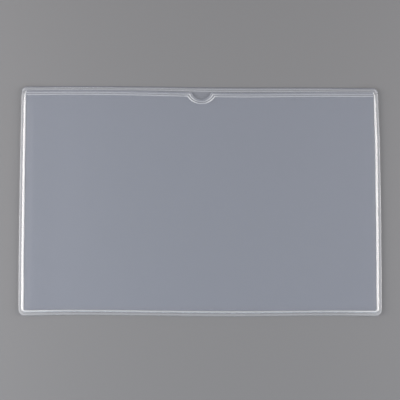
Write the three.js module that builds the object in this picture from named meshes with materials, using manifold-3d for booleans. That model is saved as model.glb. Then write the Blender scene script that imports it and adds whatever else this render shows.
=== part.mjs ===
// A clear vinyl sleeve that holds one index card, lying flat on its back sheet.
// The back and the front sheet are welded along both sides and the bottom, and the top edge is open.
// Millimetres. X runs along the length, Y towards the open edge and Z up through the sheets.
// The origin is in the middle of the underside.

import * as THREE from 'three';
import { mergeVertices } from 'three/addons/utils/BufferGeometryUtils.js';
import Module from 'manifold-3d';

const wasm = await Module();
wasm.setup();

// The card that the sleeve is made for, and the room round it in the pocket
const cardLength = 203.2;
const cardWidth = 127;
const cardEndClearance = 2.5;
const cardTopClearance = 2.6;
const pocketDepth = 0.4;

// The two sheets
const backSheetThickness = 0.3;
const frontSheetThickness = 0.3;
const backSheetRise = 3;
const outerCornerRadius = 3.6;
const pocketCornerRadius = 1.2;

// The weld along three sides, from its outer edge inwards: a low lip, a valley and a round bead
const lipWidth = 1.1;
const lipHeight = 0.35;
const valleyWidth = 0.5;
const valleyHeight = 0.25;
const beadWidth = 1.4;
const beadRise = 0.15;
const beadRounding = 0.35;

// The thumb notch in the front sheet's open edge, an arc whose centre lies above that edge
const notchRadius = 5.9;
const notchCentreRise = 1.2;
const notchShoulderRadius = 1.6;
const smallestShoulderRadius = 0.5;

// Two fine lines pressed along each sheet's open edge, and round the notch
const pressedLineCount = 2;
const firstLineInset = 1;
const pressedLineWidth = 0.5;
const pressedLineSpacing = 1.15;
const pressedLineDepth = 0.08;

const arcSegments = 10;
const beadRoundingSegments = 4;

// The sleeve's outline and levels, worked out from the card and the weld
const weldWidth = lipWidth + valleyWidth + beadWidth;
const sleeveLength = cardLength + 2 * (cardEndClearance + weldWidth);
const frontHeight = weldWidth + cardWidth + cardTopClearance;
const backHeight = frontHeight + backSheetRise;
const bottomEdge = -backHeight / 2;
const frontTopEdge = bottomEdge + frontHeight;
const backTopEdge = bottomEdge + backHeight;
const weldSeat = backSheetThickness;
const frontSheetBottom = weldSeat + pocketDepth;
const frontSheetTop = frontSheetBottom + frontSheetThickness;
const beadTop = frontSheetTop + beadRise;

// A rectangle across the sleeve with four round corners, drawn anticlockwise from its lower left
function roundedRectangle(halfLength, lowY, highY, radius) {
  const quarter = Math.PI / 2;
  const shape = new THREE.Shape();
  shape.absarc(-halfLength + radius, lowY + radius, radius, 2 * quarter, 3 * quarter);
  shape.absarc(halfLength - radius, lowY + radius, radius, 3 * quarter, 4 * quarter);
  shape.absarc(halfLength - radius, highY - radius, radius, 0, quarter);
  shape.absarc(-halfLength + radius, highY - radius, radius, quarter, 2 * quarter);
  return shape;
}

// The back sheet's outline, with its open edge moved down by topInset
function backOutline(topInset) {
  return roundedRectangle(sleeveLength / 2, bottomEdge, backTopEdge - topInset, outerCornerRadius);
}

// The weld's outline at a distance inwards from its outer edge
function weldOutline(inset) {
  const radius = Math.max(outerCornerRadius - inset, pocketCornerRadius);
  return roundedRectangle(sleeveLength / 2 - inset, bottomEdge + inset, frontTopEdge - inset, radius);
}

// The front sheet inside the weld, with its open edge and the notch in it moved inwards by topInset
function frontOutline(topInset) {
  const halfLength = sleeveLength / 2 - weldWidth;
  const lowY = bottomEdge + weldWidth;
  const highY = frontTopEdge - topInset;
  const quarter = Math.PI / 2;
  const radius = notchRadius + topInset;
  const shoulder = Math.max(notchShoulderRadius - topInset, smallestShoulderRadius);
  const centreY = frontTopEdge + notchCentreRise;
  const shoulderY = highY - shoulder;
  const shoulderX = Math.sqrt((radius + shoulder) ** 2 - (centreY - shoulderY) ** 2);
  const towardsCentre = Math.atan2(centreY - shoulderY, -shoulderX);

  const shape = new THREE.Shape();
  shape.absarc(-halfLength + pocketCornerRadius, lowY + pocketCornerRadius, pocketCornerRadius,
    2 * quarter, 3 * quarter);
  shape.absarc(halfLength - pocketCornerRadius, lowY + pocketCornerRadius, pocketCornerRadius,
    3 * quarter, 4 * quarter);
  shape.lineTo(halfLength, highY);
  shape.absarc(shoulderX, shoulderY, shoulder, quarter, towardsCentre);
  shape.absarc(0, centreY, radius, towardsCentre - 2 * quarter, -towardsCentre, true);
  shape.absarc(-shoulderX, shoulderY, shoulder, 2 * quarter - towardsCentre, quarter);
  shape.lineTo(-halfLength, highY);
  return shape;
}

// A closed three.js geometry as a solid that can be joined and cut
function solidFrom(geometry) {
  geometry.deleteAttribute('normal');
  geometry.deleteAttribute('uv');
  const merged = mergeVertices(geometry);
  return new wasm.Manifold(new wasm.Mesh({
    numProp: 3,
    vertProperties: merged.attributes.position.array,
    triVerts: new Uint32Array(merged.index.array),
  }));
}

// A flat solid with the outline of a shape, between two levels
function slab(shape, bottom, top) {
  const geometry = new THREE.ExtrudeGeometry(shape, {
    depth: top - bottom,
    bevelEnabled: false,
    curveSegments: arcSegments,
  });
  geometry.translate(0, 0, bottom);
  return solidFrom(geometry);
}

// A box-shaped cutter between two corners
function block(lowX, highX, lowY, highY, bottom, top) {
  const geometry = new THREE.BoxGeometry(highX - lowX, highY - lowY, top - bottom);
  geometry.translate((lowX + highX) / 2, (lowY + highY) / 2, (bottom + top) / 2);
  return solidFrom(geometry);
}

// The band between two insets of an outline, open at both faces
function band(outline, outerInset, innerInset, bottom, top) {
  return slab(outline(outerInset), bottom, top).subtract(slab(outline(innerInset), bottom, top));
}

// Presses the fine lines into a sheet's upper face
function pressLines(sheet, outline, sheetTop) {
  let pressed = sheet;
  for (let line = 0; line < pressedLineCount; line += 1) {
    const inset = firstLineInset + line * pressedLineSpacing;
    const pressedTop = sheetTop + pressedLineDepth;
    pressed = pressed.subtract(
      band(outline, inset, inset + pressedLineWidth, sheetTop - pressedLineDepth, pressedTop),
    );
  }
  return pressed;
}

function backSheet() {
  return pressLines(slab(backOutline(0), 0, backSheetThickness), backOutline, backSheetThickness);
}

function frontSheet() {
  return pressLines(slab(frontOutline(0), frontSheetBottom, frontSheetTop), frontOutline, frontSheetTop);
}

// The round bead, a ring with a rounded top that goes down to the weld's seat
function beadRing() {
  const shape = weldOutline(lipWidth + valleyWidth);
  shape.holes.push(new THREE.Path(weldOutline(weldWidth).getPoints(arcSegments)));
  const geometry = new THREE.ExtrudeGeometry(shape, {
    depth: beadTop - weldSeat - beadRounding,
    bevelThickness: beadRounding,
    bevelSize: beadRounding,
    bevelOffset: -beadRounding,
    bevelSegments: beadRoundingSegments,
    curveSegments: arcSegments,
  });
  geometry.translate(0, 0, weldSeat);
  return solidFrom(geometry);
}

// The weld: lip, valley and bead on three sides, which end at the front sheet's open edge
function edgeWeld() {
  const lip = band(weldOutline, 0, lipWidth, weldSeat, weldSeat + lipHeight);
  const valley = band(weldOutline, lipWidth, weldWidth, weldSeat, weldSeat + valleyHeight);
  const mouthHalf = sleeveLength / 2 - weldWidth;
  const mouth = block(-mouthHalf, mouthHalf, frontTopEdge - weldWidth - pocketCornerRadius,
    backTopEdge, 0, beadTop + beadRise);
  const aboveSeat = slab(weldOutline(0), weldSeat, beadTop);
  return lip.add(valley).add(beadRing().intersect(aboveSeat)).subtract(mouth);
}

// A solid as a named mesh of the clear vinyl
function vinylPiece(name, solid, color) {
  const { vertProperties, triVerts } = solid.getMesh();
  const geometry = new THREE.BufferGeometry();
  geometry.setAttribute('position', new THREE.BufferAttribute(vertProperties, 3));
  geometry.setIndex(new THREE.BufferAttribute(triVerts, 1));
  geometry.computeVertexNormals();
  const material = new THREE.MeshStandardMaterial({
    color,
    roughness: 0.15,
    metalness: 0,
    transparent: true,
    opacity: 0.4,
  });
  const mesh = new THREE.Mesh(geometry, material);
  mesh.name = name;
  return mesh;
}

const cardSleeve = new THREE.Group();
cardSleeve.name = 'card_sleeve';
cardSleeve.add(vinylPiece('back_sheet', backSheet(), 0xd5dbe8));
cardSleeve.add(vinylPiece('front_sheet', frontSheet(), 0xd5dbe8));
cardSleeve.add(vinylPiece('edge_weld', edgeWeld(), 0xf2f5fa));

export default cardSleeve;
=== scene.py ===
import math

import bmesh
import bpy
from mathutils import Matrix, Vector, noise


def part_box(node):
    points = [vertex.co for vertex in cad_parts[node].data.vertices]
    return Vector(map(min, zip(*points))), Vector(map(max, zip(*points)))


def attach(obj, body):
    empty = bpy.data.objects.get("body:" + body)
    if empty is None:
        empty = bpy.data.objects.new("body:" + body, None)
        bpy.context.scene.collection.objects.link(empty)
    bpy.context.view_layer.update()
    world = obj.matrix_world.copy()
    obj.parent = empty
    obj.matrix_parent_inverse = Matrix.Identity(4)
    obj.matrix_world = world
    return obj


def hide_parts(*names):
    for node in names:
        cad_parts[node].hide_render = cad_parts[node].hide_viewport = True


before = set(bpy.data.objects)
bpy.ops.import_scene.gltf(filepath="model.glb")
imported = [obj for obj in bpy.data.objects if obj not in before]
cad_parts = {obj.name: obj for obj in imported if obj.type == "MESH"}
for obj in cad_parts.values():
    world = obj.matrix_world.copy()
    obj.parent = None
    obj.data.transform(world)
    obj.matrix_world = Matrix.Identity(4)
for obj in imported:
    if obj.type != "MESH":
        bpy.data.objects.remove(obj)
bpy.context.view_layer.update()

# Clear vinyl card sleeve: two sheets of film welded on three sides, open along the top edge.
# Blender works in metres, and mm turns a size in millimetres into metres.
mm = 0.001
quarterTurn = math.pi / 2

# Places that the pieces share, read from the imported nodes
backLow, backHigh = (Vector(corner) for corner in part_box("back_sheet"))
frontLow, frontHigh = (Vector(corner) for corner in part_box("front_sheet"))
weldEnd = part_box("edge_weld")[1][1]
halfLength = backHigh.x
bottomEdge = backLow.y
backTopEdge = backHigh.y
frontTopEdge = frontHigh.y
weldWidth = backHigh.x - frontHigh.x
outerRadius = 3.6 * mm
pocketRadius = 1.2 * mm

sharpAngle = math.radians(50)    # faces that meet at more than this look creased
mergeDistance = 0.001 * mm

# How the soft sleeve lies: no edge of it is quite straight
lie = {
    "endRise": 0.7 * mm,         # both short ends curl up from the table
    "endReach": 26 * mm,
    "endSteepness": 1.5,
    "leftLean": 0.12 * mm,       # the sides lean in towards the open edge
    "rightLean": 0.5 * mm,
    "leanStart": 5 * mm,         # from the open edge: full lean to here, and none beyond leanReach
    "leanReach": 38 * mm,
    "narrowing": 0.4 * mm,       # the two short welds get narrower towards the open edge
    "narrowingReach": 70 * mm,
    "bottomLean": 0.2 * mm,      # the sides lean in a little towards the bottom too
    "bottomDrop": 0.22 * mm,     # the film is stretched a little at the bottom weld
    "bottomReach": 34 * mm,
    # the long edges wander up and down the table: a place along the sleeve and the shift there, in mm
    "wander": ((-107, 0.15), (-78, 0.50), (24, -0.33), (77, 0.12), (107, -0.08)),
}

# The embossed strip along each open edge, measured from that edge
edgeStrip = {
    "ridges": ((1.25 * mm, 1.05), (2.40 * mm, 1.5)),   # where two round ridges lie, and how milky
    "ridgeWidth": 0.88 * mm,
    "ridgeHeight": 0.13 * mm,
    "width": 3.1 * mm,
    "fade": 0.4 * mm,            # over which the strip's haze ends
    "rows": 26,
    "rimWidth": 0.5 * mm,        # the band of painted shade at the cut edge: a darker see-through tint stands in for the light the edge bends away and for its thin shadow
}


def smoothStep(value, low, high):
    t = min(max((value - low) / (high - low), 0), 1)
    return t * t * (3 - 2 * t)


# A value that goes from start to end as value goes from low to high
def blend(value, low, high, start, end):
    return start + (end - start) * smoothStep(value, low, high)


def endRiseAt(x):
    towardsEnd = smoothStep(abs(x), halfLength - lie["endReach"], halfLength)
    return lie["endRise"] * towardsEnd ** lie["endSteepness"]


# How far a point at the sleeve's end moves inwards
def leanAt(x, y):
    openLean = lie["leftLean"] if x < 0 else lie["rightLean"]
    return (blend(backTopEdge - y, lie["leanStart"], lie["leanReach"], openLean, 0)
            + blend(y - bottomEdge, 0, lie["bottomReach"], lie["bottomLean"], 0))


# How far a point in the weld moves inwards as well, most at the outer edge
def narrowingAt(x, y):
    narrowing = blend(backTopEdge - y, 0, lie["narrowingReach"], lie["narrowing"], 0)
    return narrowing * max((abs(x) - frontHigh.x) / weldWidth, 0)


def dropAt(y):
    return blend(y - bottomEdge, 0, lie["bottomReach"], lie["bottomDrop"], 0)


def wanderAt(x):
    places = lie["wander"]
    for (startX, startShift), (endX, endShift) in zip(places, places[1:]):
        if x / mm <= endX:
            return blend(x / mm, startX, endX, startShift, endShift) * mm
    return places[-1][1] * mm


# Moves a square-cut piece to the way the sleeve lies on the table
def layDown(bm):
    for vert in bm.verts:
        x, y, z = vert.co
        inwards = leanAt(x, y) * abs(x) / halfLength + narrowingAt(x, y)
        vert.co = (x - math.copysign(inwards, x), y + wanderAt(x) - dropAt(y), z + endRiseAt(x))


# How far an open edge that was cut askew lies from its square place, less further down the sheet
def skewAt(skew, x, fromEdge):
    shift = blend(x, skew["start"], skew["end"], skew["left"], skew["right"])
    return shift * (1 - smoothStep(fromEdge, 0, skew["reach"]))


# How high, 0 to 1, and how milky the two ridges are at a distance from the open edge
def stripRidge(distance):
    for centre, milk in edgeStrip["ridges"]:
        fromCentre = abs(distance - centre) / (edgeStrip["ridgeWidth"] / 2)
        if fromCentre < 1:
            height = math.cos(fromCentre * quarterTurn) ** 2
            return height, height * milk
    return 0, 0


# How cloudy the film is at a distance from its open edge
def stripCloud(distance, sizes):
    inStrip = blend(distance, edgeStrip["width"] - edgeStrip["fade"], edgeStrip["width"], 1, 0)
    return sizes["stripCloud"] * inStrip + sizes["ridgeCloud"] * stripRidge(distance)[1]


# Painted shade along a cut edge: 1 at the edge, fading to 0 over the rim width
def paintedRimShadeAt(inset):
    return blend(inset, 0.5 * edgeStrip["rimWidth"], edgeStrip["rimWidth"], 1, 0)


# A grid of columns by rows vertices: place(column, row) gives each its point, its cloudiness (with
# painted light in places) and its painted rim shade
def gridPiece(columns, rows, place):
    bm = bmesh.new()
    cloud = bm.verts.layers.float.new("cloudinessAndPaintedLight")
    paintedRimShade = bm.verts.layers.float.new("paintedRimShade")
    bmesh.ops.create_grid(bm, x_segments=columns - 1, y_segments=rows - 1, size=0.5)
    for vert in bm.verts:
        column = round((vert.co.x + 0.5) * (columns - 1))
        row = round((vert.co.y + 0.5) * (rows - 1))
        vert.co, vert[cloud], vert[paintedRimShade] = place(column, row)
    return bm


# Extrudes a grid in place and returns the copied vertices, which are moved to give the film its thickness
def secondFace(bm):
    extruded = bmesh.ops.extrude_face_region(bm, geom=bm.faces[:], use_keep_orig=True)
    return [item for item in extruded["geom"] if isinstance(item, bmesh.types.BMVert)]


# Puts a bmesh into the scene as an object with one material
def addObject(bm, name, material):
    mesh = bpy.data.meshes.new(name)
    bm.to_mesh(mesh)
    bm.free()
    mesh.materials.append(material)
    piece = bpy.data.objects.new(name, mesh)
    bpy.context.collection.objects.link(piece)
    return piece


# Turns a finished bmesh into a smooth-shaded piece that stands for its CAD node
def finishPiece(bm, name, node, material):
    layDown(bm)
    bmesh.ops.recalc_face_normals(bm, faces=bm.faces[:])
    piece = addObject(bm, name, material)
    piece.data.shade_smooth()
    piece.data.set_sharp_from_angle(angle=sharpAngle)
    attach(piece, "root")
    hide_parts(node)
    print(name, "made")


# Materials

# sRGB hex to linear RGBA
def hexColor(code):
    channels = [int(code[i:i + 2], 16) / 255 for i in (1, 3, 5)]
    linear = [c / 12.92 if c <= 0.04045 else ((c + 0.055) / 1.055) ** 2.4 for c in channels]
    return (*linear, 1)


# Adds a node, sets its properties and sockets, and links sockets to other nodes' outputs
def addNode(tree, kind, settings=None, inputs=None, links=None):
    node = tree.nodes.new(kind)
    for key, value in (settings or {}).items():
        setattr(node, key, value)
    for socket, value in (inputs or {}).items():
        node.inputs[socket].default_value = value
    for socket, output in (links or {}).items():
        tree.links.new(output, node.inputs[socket])
    return node


def emptyMaterial(name):
    material = bpy.data.materials.new(name)
    material.use_nodes = True
    material.node_tree.nodes.clear()
    return material, material.node_tree


# The share of light that a face of film reflects, the same from outside and inside (Schlick's formula)
def filmReflection(tree, ior):
    straightOn = ((ior - 1) / (ior + 1)) ** 2
    facing = addNode(tree, "ShaderNodeLayerWeight", inputs={"Blend": 0.5})
    steep = addNode(tree, "ShaderNodeMath", {"operation": "POWER"}, {1: 5},
                    {0: facing.outputs["Facing"]})
    share = addNode(tree, "ShaderNodeMath", {"operation": "MULTIPLY_ADD"},
                    {1: 1 - straightOn, 2: straightOn}, {0: steep.outputs[0]})
    return share.outputs[0]


vinylLook = {
    "paintedRimShadeColor": "#d8d8da",       # painted shade: the darker tint that the cut edge lets through, standing in for the light it bends away
    "hazeColor": "#dbe2f3",      # blue toner and plasticiser scatter a little pale blue
    "haze": 0.13,                # share of the light that the film scatters at each face
    "milkAndPaintedLightColor": "#f2f3f5",      # embossed film turns milky; the same white also draws the painted light and painted sheen beside the welds
    "ior": 1.53,
    "roughness": 0.09,
}


def clearVinyl():
    # calendered flexible PVC film: see-through, glossy, faintly blue, milky where it is embossed; the
    # darker tint along its cut edges is painted shade, and the milkier film beside the welds is partly
    # painted light
    material, tree = emptyMaterial("clear flexible PVC film")
    cloud = addNode(tree, "ShaderNodeAttribute", {"attribute_name": "cloudinessAndPaintedLight"})
    paintedRimShade = addNode(tree, "ShaderNodeAttribute", {"attribute_name": "paintedRimShade"})
    clear = addNode(tree, "ShaderNodeBsdfTransparent")
    # painted shade: a darker see-through tint along the cut edge
    paintedEdgeShade = addNode(tree, "ShaderNodeBsdfTransparent", inputs={
        "Color": hexColor(vinylLook["paintedRimShadeColor"])})
    sheet = addNode(tree, "ShaderNodeMixShader", links={
        0: paintedRimShade.outputs["Fac"], 1: clear.outputs[0], 2: paintedEdgeShade.outputs[0]})
    scatter = addNode(tree, "ShaderNodeBsdfDiffuse", inputs={
        "Color": hexColor(vinylLook["hazeColor"])})
    hazy = addNode(tree, "ShaderNodeMixShader", inputs={0: vinylLook["haze"]}, links={
        1: sheet.outputs[0], 2: scatter.outputs[0]})
    # milky where embossed; beside the welds this also carries painted light and a painted sheen
    milk = addNode(tree, "ShaderNodeBsdfDiffuse", inputs={
        "Color": hexColor(vinylLook["milkAndPaintedLightColor"])})
    body = addNode(tree, "ShaderNodeMixShader", links={
        0: cloud.outputs["Fac"], 1: hazy.outputs[0], 2: milk.outputs[0]})
    gloss = addNode(tree, "ShaderNodeBsdfGlossy", inputs={"Roughness": vinylLook["roughness"]})
    film = addNode(tree, "ShaderNodeMixShader", links={
        0: filmReflection(tree, vinylLook["ior"]), 1: body.outputs[0], 2: gloss.outputs[0]})
    addNode(tree, "ShaderNodeOutputMaterial", links={"Surface": film.outputs[0]})
    return material


weldLook = {
    # whitened melt, and also painted highlight where the bead is thick and along the side welds
    "milkAndPaintedLightColor": "#f9fafc",
    "ior": 1.53,
    "roughness": 0.2,
    "coatRoughness": 0.15,
}


def weldedVinyl():
    # the same film melted under the die: a glossy bead, milky where it is thick; that milk is partly the
    # whitened melt and partly painted highlight, standing in for the light the round bead throws back
    # from inside
    material, tree = emptyMaterial("heat-welded PVC bead")
    cloud = addNode(tree, "ShaderNodeAttribute", {"attribute_name": "cloudinessAndPaintedLight"})
    clear = addNode(tree, "ShaderNodeBsdfTransparent")
    # partly painted highlight: this milky white lights up the bead where its cloudiness is high
    milk = addNode(tree, "ShaderNodeBsdfPrincipled", inputs={
        "Base Color": hexColor(weldLook["milkAndPaintedLightColor"]),
        "Roughness": weldLook["roughness"],
        "IOR": weldLook["ior"],
        "Coat Weight": 1.0,
        "Coat Roughness": weldLook["coatRoughness"],
    })
    body = addNode(tree, "ShaderNodeMixShader", links={
        0: cloud.outputs["Fac"], 1: clear.outputs[0], 2: milk.outputs[0]})
    gloss = addNode(tree, "ShaderNodeBsdfGlossy", inputs={"Roughness": weldLook["roughness"]})
    bead = addNode(tree, "ShaderNodeMixShader", links={
        0: filmReflection(tree, weldLook["ior"]), 1: body.outputs[0], 2: gloss.outputs[0]})
    addNode(tree, "ShaderNodeOutputMaterial", links={"Surface": bead.outputs[0]})
    return material


vinyl = clearVinyl()
weldVinyl = weldedVinyl()
print("materials made")

# Back sheet

backSheet = {
    "step": 1.8 * mm,            # between rows and columns away from the edges
    "cornerSteps": 14,
    "stripCloud": 0.04,
    "ridgeCloud": 0.18,
    "rimStart": 2 * mm,          # the painted rim shade shows at the open edge and its corners only
    "rimReach": 6 * mm,
    "cornerCloud": 0.2,          # a milky line goes round those corners
    "cornerLine": 0.9 * mm,
    "cornerLineWidth": 0.7 * mm,
    "cornerLineFull": 0.3,       # in radii from the end, where that line is at its milkiest
    "squeeze": 0.45 * mm,        # the strip is narrower along the left part
    "squeezeStart": -30 * mm,
    "squeezeEnd": 15 * mm,
    "skew": {"left": 0.37 * mm, "right": -0.4 * mm, "start": 10 * mm, "end": halfLength,
             "reach": 60 * mm},
}


# Distances inwards from an edge that follow a round corner in even steps
def cornerInsets():
    steps = backSheet["cornerSteps"]
    return [outerRadius * (1 - math.cos(quarterTurn * i / steps)) for i in range(steps + 1)]


# Even places between low and high, both left out
def evenPlaces(low, high, step):
    count = round((high - low) / step)
    return [low + (high - low) * i / count for i in range(1, count)]


# How much shorter than the sleeve one half of the sheet is, at a distance from its nearer long edge
def cornerCut(fromEdge):
    if fromEdge >= outerRadius:
        return 0
    return outerRadius - math.sqrt(outerRadius ** 2 - (outerRadius - fromEdge) ** 2)


# The distance inwards from the sheet's outline
def outlineInset(x, fromEdge):
    fromEnd = halfLength - abs(x)
    if fromEnd < outerRadius and fromEdge < outerRadius:
        return outerRadius - math.hypot(outerRadius - fromEnd, outerRadius - fromEdge)
    return min(fromEnd, fromEdge)


# How far the rows of the strip are squeezed towards the open edge
def squeezeAt(x, distance):
    squeeze = blend(x, backSheet["squeezeStart"], backSheet["squeezeEnd"], backSheet["squeeze"], 0)
    inStrip = smoothStep(distance, 0, edgeStrip["width"])
    below = smoothStep(distance, edgeStrip["width"], backSheet["skew"]["reach"])
    return squeeze * inStrip * (1 - below)


def cornerCloud(x, distance):
    fromLine = abs(outlineInset(x, distance) - backSheet["cornerLine"])
    cloud = blend(fromLine, 0, backSheet["cornerLineWidth"], backSheet["cornerCloud"], 0)
    fullX = halfLength - backSheet["cornerLineFull"] * outerRadius
    return (cloud * smoothStep(abs(x), halfLength - outerRadius, fullX)
            * blend(distance, outerRadius, 2 * outerRadius, 1, 0))


def buildBackSheet():
    height = backTopEdge - bottomEdge
    insets = cornerInsets()
    strip = [edgeStrip["width"] * i / edgeStrip["rows"] for i in range(edgeStrip["rows"] + 1)]
    lower = [height - inset for inset in reversed(insets)]
    rows = strip + evenPlaces(strip[-1], lower[0], backSheet["step"]) + lower
    middle = evenPlaces(-(halfLength - outerRadius), halfLength - outerRadius, backSheet["step"])
    columns = 2 * len(insets) + len(middle)

    def place(column, row):
        distance = rows[row]
        fromEdge = min(distance, height - distance)
        end = halfLength - cornerCut(fromEdge)
        if column < len(insets):
            x = insets[column] - end
        elif column >= columns - len(insets):
            x = end - insets[columns - 1 - column]
        else:
            x = middle[column - len(insets)] * (end - outerRadius) / (halfLength - outerRadius)
        y = backTopEdge - distance + skewAt(backSheet["skew"], x, distance) + squeezeAt(x, distance)
        z = backHigh.z + edgeStrip["ridgeHeight"] * stripRidge(distance)[0]
        nearOpenEdge = blend(distance, backSheet["rimStart"], backSheet["rimReach"], 1, 0)
        cloud = stripCloud(distance, backSheet) + cornerCloud(x, distance)
        return (x, y, z), cloud, paintedRimShadeAt(outlineInset(x, fromEdge)) * nearOpenEdge

    bm = gridPiece(columns, len(rows), place)
    for vert in secondFace(bm):
        vert.co.z = backLow.z
    finishPiece(bm, "backSheet", "back_sheet", vinyl)


buildBackSheet()

# Front sheet

frontSheet = {
    "sideColumns": 80,           # along the open edge on each side of the notch
    "columnEvenness": 0.4,       # 1 is evenly spaced, and 0 is closest together at the weld
    "shoulderColumns": 8,
    "notchColumns": 16,          # on each half of the notch
    "panelRows": 70,
    "weldDip": 0.30 * mm,        # the film comes down to the weld
    "dipStart": -0.5 * mm,       # distances from the weld's inner edge
    "dipReach": 5 * mm,
    "waveHeight": 0.06 * mm,     # and is faintly wavy over the pocket
    "waveLength": 55 * mm,
    "sheenStripePlace": 3.2 * mm,     # painted sheen: a lighter stripe beside the left weld stands in for light caught by the film's slope there
    "sheenStripeWidth": 2.2 * mm,
    "paintedSheenCloud": 0.02,         # drawn as a slight milkiness
    "heatHazeAndPaintedLightLeft": 0.045,      # next to the short welds the film is milkier: partly heat haze from welding, partly painted light that lifts the shadow the bead casts into the pocket
    "heatHazeAndPaintedLightRight": 0.05,
    "heatStart": 1 * mm,
    "heatReach": 2.4 * mm,
    "rimShare": 0.3,             # a smaller share of the painted rim shade, since the cut edge lies on the other film
    "stripCloud": 0.04,
    "ridgeCloud": 0.2,
    "notchMilk": 1.3,            # the ridges are milkier where they bend into the notch
    "notchMilkReach": 4.5 * mm,
    "mouthDip": 0.2 * mm,        # the empty pocket's mouth lies almost shut
    "mouthReach": 14 * mm,
    "skew": {"left": 0.85 * mm, "right": 0, "start": -70 * mm, "end": 40 * mm, "reach": 60 * mm},
}
notch = {
    "centreX": 0.6 * mm,         # cut slightly off the middle
    "centreRise": 1.55 * mm,
    "radius": 5.9 * mm,
    "spread": 0.35,              # the ridges lie further apart at its sides than below it
    "shoulderRadius": 1.6 * mm,
    "smallestShoulder": 0.5 * mm,
}


# Points from left to right along the open edge and round the notch, moved inwards by inset
def openEdgeCurve(inset):
    radius = notch["radius"] + inset
    shoulder = max(notch["shoulderRadius"] - inset, notch["smallestShoulder"])
    centreY = frontTopEdge + notch["centreRise"]
    edgeY = frontTopEdge - inset
    rise = centreY - edgeY + shoulder
    shoulderX = math.sqrt((radius + shoulder) ** 2 - rise ** 2)
    lean = math.asin(rise / (radius + shoulder))
    widening = 1 + notch["spread"] * inset / radius

    # one half of the notch, from its shoulder to its lowest point, by distance from its middle
    half = []
    for i in range(frontSheet["shoulderColumns"]):
        turn = quarterTurn - (quarterTurn - lean) * i / frontSheet["shoulderColumns"]
        half.append((widening * (shoulderX - shoulder * math.cos(turn)),
                     edgeY - shoulder + shoulder * math.sin(turn)))
    for i in range(frontSheet["notchColumns"]):
        turn = lean + (quarterTurn - lean) * i / frontSheet["notchColumns"]
        half.append((widening * radius * math.cos(turn), centreY - radius * math.sin(turn)))

    # the straight edge from the weld to the shoulder, closer together at the weld
    def straight(side):
        start = side * frontHigh.x
        end = notch["centreX"] + side * widening * shoulderX
        even = frontSheet["columnEvenness"]
        shares = [i / frontSheet["sideColumns"] for i in range(frontSheet["sideColumns"])]
        return [(start + (end - start) * (even * share + (1 - even) * share ** 2), edgeY)
                for share in shares]

    left = straight(-1) + [(notch["centreX"] - x, y) for x, y in half]
    right = straight(1) + [(notch["centreX"] + x, y) for x, y in half]
    return left + [(notch["centreX"], centreY - radius)] + right[::-1]


# The film's underside
def frontHeight(x, y):
    reach = frontSheet["dipReach"]
    fromWeld = min(frontHigh.x - abs(x), y - frontLow.y)
    dip = max(blend(fromWeld, frontSheet["dipStart"], reach, frontSheet["weldDip"], 0),
              blend(frontTopEdge - y, 0, frontSheet["mouthReach"], frontSheet["mouthDip"], 0))
    wave = frontSheet["waveHeight"] * noise.noise(Vector((x, y, 0)) / frontSheet["waveLength"])
    return frontLow.z - dip + wave * smoothStep(fromWeld, 0, 2 * reach)


# How cloudy the film is beside the short welds, where painted light and a painted sheen are added
def besideWeld(x):
    fromWeld = frontHigh.x - abs(x)
    heatHazeAndPaintedLight = blend(fromWeld, frontSheet["heatStart"], frontSheet["heatReach"], 1, 0)
    if x > 0:
        return frontSheet["heatHazeAndPaintedLightRight"] * heatHazeAndPaintedLight
    # painted sheen: a faint milky stripe at a set distance from the left weld
    fromSheenStripe = abs(fromWeld - frontSheet["sheenStripePlace"])
    return (frontSheet["heatHazeAndPaintedLightLeft"] * heatHazeAndPaintedLight
            + blend(fromSheenStripe, 0, frontSheet["sheenStripeWidth"], frontSheet["paintedSheenCloud"], 0))


def buildFrontSheet():
    stripRows = edgeStrip["rows"]
    curves = [openEdgeCurve(edgeStrip["width"] * i / stripRows) for i in range(stripRows + 1)]
    panelRows = frontSheet["panelRows"]

    def place(column, row):
        x, y = curves[min(row, stripRows)][column]
        distance = edgeStrip["width"] * min(row / stripRows, 1)
        fromShoulder = abs(abs(x - notch["centreX"]) - notch["radius"])
        milk = blend(fromShoulder, 0, frontSheet["notchMilkReach"], frontSheet["notchMilk"], 0)
        cloud = stripCloud(distance, frontSheet) * (1 + milk)
        if row > stripRows:
            y += (frontLow.y - y) * math.sin(quarterTurn * (row - stripRows) / panelRows)
            cloud = besideWeld(x)
        z = frontHeight(x, y) + edgeStrip["ridgeHeight"] * stripRidge(distance)[0]
        y += skewAt(frontSheet["skew"], x, frontTopEdge - y)
        return (x, y, z), cloud, frontSheet["rimShare"] * paintedRimShadeAt(distance)

    bm = gridPiece(len(curves[0]), stripRows + panelRows + 1, place)
    for vert in secondFace(bm):
        vert.co.z += frontHigh.z - frontLow.z
    finishPiece(bm, "frontSheet", "front_sheet", vinyl)


buildFrontSheet()

# Edge weld

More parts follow.
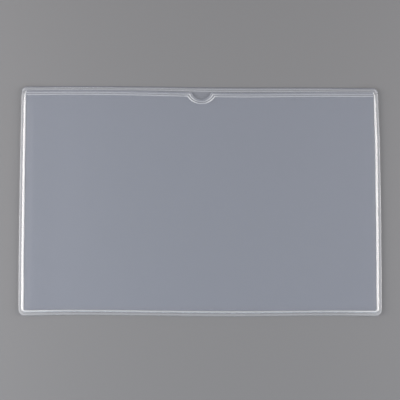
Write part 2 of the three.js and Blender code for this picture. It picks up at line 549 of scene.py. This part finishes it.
edgeWeld = {
    "sideColumns": 60,
    "bottomColumns": 45,         # on each half of the bottom
    "cornerColumns": 12,
    "hookLength": 1.6 * mm,      # the bead's ends turn in a little at the open edge
    "hookIn": 0.6 * mm,
    "hookSinking": 0.45,         # share of its height that the bead loses there
    "hookClearing": 0.5,         # share of its cloudiness and painted light that it loses there
    "cornerReach": 34 * mm,      # over which the bottom weld takes on the sides' higher painted light towards its ends, as the bead turns towards the side lamps
    # from the outer edge inwards: inset and level in mm, cloudiness at the sides and at the bottom; the
    # sides' higher cloudiness is painted light, for the side lamps that the side welds face
    "section": (
        (0.10, 0.31, 0.05, 0.02),
        (0.00, 0.45, 0.12, 0.08),
        (0.06, 0.60, 0.22, 0.16),
        (0.25, 0.68, 0.32, 0.27),
        (0.50, 0.70, 0.38, 0.32),
        (0.80, 0.67, 0.38, 0.32),
        (1.05, 0.60, 0.33, 0.26),
        (1.30, 0.56, 0.28, 0.18),
        (1.50, 0.60, 0.27, 0.15),
        (1.82, 0.74, 0.28, 0.17),
        (2.06, 0.92, 0.31, 0.24),
        (2.28, 1.06, 0.55, 0.42),
        (2.54, 1.13, 1.00, 0.64),
        (2.76, 1.09, 0.76, 0.48),
        (2.90, 0.97, 0.46, 0.28),
        (3.02, 0.80, 0.26, 0.15),
        (3.10, 0.62, 0.16, 0.09),
        (3.12, 0.45, 0.07, 0.04),
        (3.02, 0.31, 0.05, 0.02),
    ),
}


# Points down the left side, along the bottom and up the right side, at an inset from the outer edge
def weldCurve(inset):
    radius = max(outerRadius - inset, pocketRadius)
    centreX = halfLength - inset - radius
    centreY = bottomEdge + inset + radius
    left = []
    for i in range(edgeWeld["sideColumns"]):
        left.append((-centreX - radius, weldEnd + (centreY - weldEnd) * i / edgeWeld["sideColumns"]))
    for i in range(edgeWeld["cornerColumns"]):
        turn = quarterTurn * i / edgeWeld["cornerColumns"]
        left.append((-centreX - radius * math.cos(turn), centreY - radius * math.sin(turn)))
    for i in range(edgeWeld["bottomColumns"]):
        left.append((-centreX * (1 - i / edgeWeld["bottomColumns"]), centreY - radius))
    right = [(-x, y) for x, y in reversed(left)]
    return left + [(0, centreY - radius)] + right


def buildEdgeWeld():
    section = edgeWeld["section"] + edgeWeld["section"][:1]
    seatLevel = section[0][1]
    curves = [weldCurve(place[0] * mm) for place in section]

    def place(column, row):
        inset, level, sideMilkAndPaintedLight, bottomMilkAndPaintedLight = section[row]
        x, y = curves[row][column]
        # painted light: the side welds get more milk than the bottom weld, which faces no lamp, blending
        # over the corner reach
        cloud = sideMilkAndPaintedLight
        if y < bottomEdge + weldWidth + pocketRadius:
            cloud = blend(halfLength - abs(x), 0, edgeWeld["cornerReach"], sideMilkAndPaintedLight, bottomMilkAndPaintedLight)
        hook = (1 - smoothStep(weldEnd - y, 0, edgeWeld["hookLength"])) ** 2
        level = seatLevel + (level - seatLevel) * (1 - edgeWeld["hookSinking"] * hook)
        cloud *= 1 - edgeWeld["hookClearing"] * hook
        x -= math.copysign(edgeWeld["hookIn"] * hook, x)
        y += skewAt(frontSheet["skew"], x, frontTopEdge - y)
        return (x, y, level * mm), cloud, 0

    bm = gridPiece(len(curves[0]), len(section), place)
    bmesh.ops.remove_doubles(bm, verts=bm.verts[:], dist=mergeDistance)
    bmesh.ops.holes_fill(bm, edges=[edge for edge in bm.edges if edge.is_boundary], sides=0)
    finishPiece(bm, "edgeWeld", "edge_weld", weldVinyl)


buildEdgeWeld()

# Studio: a mid grey table, because the sleeve is see-through, in an even tent of softboxes

studio = {
    "floorColor": "#8f8f91",
    "floorHalf": 3.0,
    "floorDrop": 0.03 * mm,
    "worldColor": "#f2f4f5",
    "worldStrength": 0.15,
    "facesOnAPath": 32,          # faces of film that one path of light may cross
    # where each softbox stands, its width and height in metres, its watts and its colour
    "softboxes": {
        "left softbox": ((-0.55, 0, 0.21), (0.35, 0.3), 3.0, "#fffaf8"),
        "right softbox": ((0.55, -0.02, 0.21), (0.35, 0.3), 2.8, "#fffaf8"),
        "front softbox": ((0, -0.60, 0.22), (0.5, 0.3), 1.12, "#d8f0ff"),
        "back softbox": ((0, 0.52, 0.19), (0.4, 0.25), 0.48, "#f4fafc"),
        "high softbox": ((-0.50, -0.20, 0.40), (0.5, 0.4), 1.20, "#ffffff"),
    },
}


def makeFloor():
    material, tree = emptyMaterial("matt grey card")
    paper = addNode(tree, "ShaderNodeBsdfPrincipled", inputs={
        "Base Color": hexColor(studio["floorColor"]),
        "Roughness": 0.95,
        "Specular IOR Level": 0.1,
    })
    addNode(tree, "ShaderNodeOutputMaterial", links={"Surface": paper.outputs[0]})
    bm = bmesh.new()
    bmesh.ops.create_grid(bm, x_segments=1, y_segments=1, size=studio["floorHalf"])
    floor = addObject(bm, "floor", material)
    floor.location.z = -studio["floorDrop"]


def makeLights():
    world = bpy.data.worlds.new("soft grey room")
    world.use_nodes = True
    background = world.node_tree.nodes["Background"]
    background.inputs["Color"].default_value = hexColor(studio["worldColor"])
    background.inputs["Strength"].default_value = studio["worldStrength"]
    bpy.context.scene.world = world
    for name, (place, size, watts, color) in studio["softboxes"].items():
        light = bpy.data.lights.new(name, "AREA")
        light.shape = "RECTANGLE"
        light.size, light.size_y = size
        light.energy = watts
        light.color = hexColor(color)[:3]
        lamp = bpy.data.objects.new(name, light)
        lamp.location = place
        lamp.rotation_euler = (-Vector(place)).to_track_quat("-Z", "Y").to_euler()
        bpy.context.collection.objects.link(lamp)


camera = {
    "distance": 0.70,
    "tilt": math.radians(4.5),   # towards the bottom edge, which looks slightly longer
    "aimX": -0.1 * mm,
    "aimY": 0.35 * mm,
    "frameWidth": 237.55 * mm,   # what the picture spans at the sleeve
    "sensorWidth": 36,
}


def makeCamera():
    data = bpy.data.cameras.new("camera")
    data.sensor_width = camera["sensorWidth"]
    data.lens = camera["sensorWidth"] * camera["distance"] / camera["frameWidth"]
    view = bpy.data.objects.new("camera", data)
    aim = Vector((camera["aimX"], camera["aimY"], 0))
    back = Vector((0, -math.sin(camera["tilt"]), math.cos(camera["tilt"])))
    view.location = aim + back * camera["distance"]
    view.rotation_euler = (-back).to_track_quat("-Z", "Y").to_euler()
    bpy.context.collection.objects.link(view)
    bpy.context.scene.camera = view


makeFloor()
makeLights()
makeCamera()
bpy.context.scene.view_settings.view_transform = "Standard"
bpy.context.scene.cycles.transparent_max_bounces = studio["facesOnAPath"]
print("studio made")
